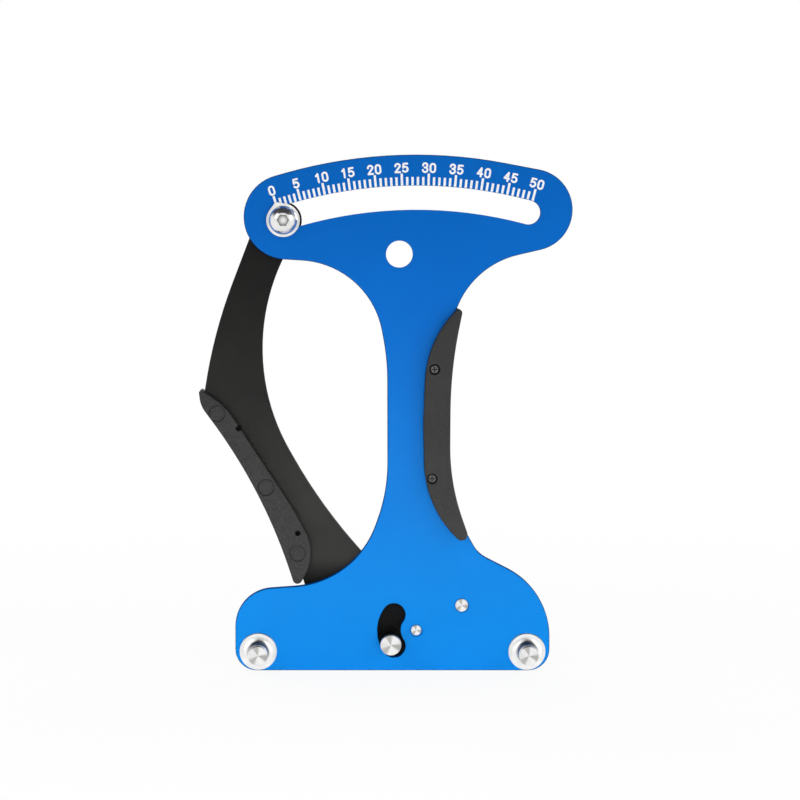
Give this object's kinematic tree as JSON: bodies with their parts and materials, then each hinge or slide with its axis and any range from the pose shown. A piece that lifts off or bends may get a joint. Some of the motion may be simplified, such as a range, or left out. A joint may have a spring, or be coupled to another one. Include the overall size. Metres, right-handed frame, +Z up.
{
  "type": "spoke tension meter",
  "caption": "Hand-held spoke tension meter: flat frame with a curved scale and two outer spoke posts, and a sprung lever that carries the middle post and the pointer.",
  "frame": {"origin": "centre of the hang hole, halfway through the frame plate", "axes": "+X to the right as seen from the scale side, +Z up from the spoke posts towards the scale, -Y out of the scale side"},
  "size_m": [0.1395, 0.0313, 0.1946],
  "materials": {
    "blue_paint": "smooth semi-gloss powder coat",
    "black_paint": "satin black coat",
    "grip_plastic": "fine matte moulding",
    "turned_steel": "turned, bright",
    "bolt_steel": "bright stainless",
    "black_steel": "black oxide",
    "spring_wire": "drawn wire",
    "bush_bronze": "sintered bearing bronze",
    "white_print": "screen print"
  },
  "bodies": {
    "frame": {"front_plate": "blue_paint", "scale_ticks": "white_print", "scale_numerals": "white_print", "fixed_post_left": "turned_steel", "fixed_post_right": "turned_steel", "fixed_post_screws": "bolt_steel", "pivot_pin": "turned_steel", "pivot_thrust_washer": "bush_bronze", "spring_retaining_washer": "bolt_steel", "pivot_circlip": "black_steel", "spring_anchor_pin": "turned_steel", "torsion_spring": "spring_wire", "body_grip_front": "grip_plastic", "body_grip_rear": "grip_plastic", "body_grip_screws": "black_steel"},
    "lever": {"lever_arm": "black_paint", "lever_bush": "bush_bronze", "moving_post": "turned_steel", "moving_post_screw": "bolt_steel", "spring_stop_pin": "turned_steel", "lever_grip_front": "grip_plastic", "lever_grip_rear": "grip_plastic", "lever_grip_screws": "black_steel", "pointer": "bolt_steel", "pointer_screw": "bolt_steel", "pointer_spacer": "bolt_steel", "pointer_washer": "bolt_steel", "pointer_nut": "bolt_steel"}
  },
  "joints": [
    {"name": "lever_turn", "type": "hinge", "parent": "frame", "child": "lever", "pos_m": [0.00729, 0, -0.14208], "axis": [0, 1, 0], "range_deg": [0, 32.5], "stiffness_Nm_per_rad": 0.9, "springref_deg": -57.3, "deforming": ["torsion_spring"]}
  ]
}
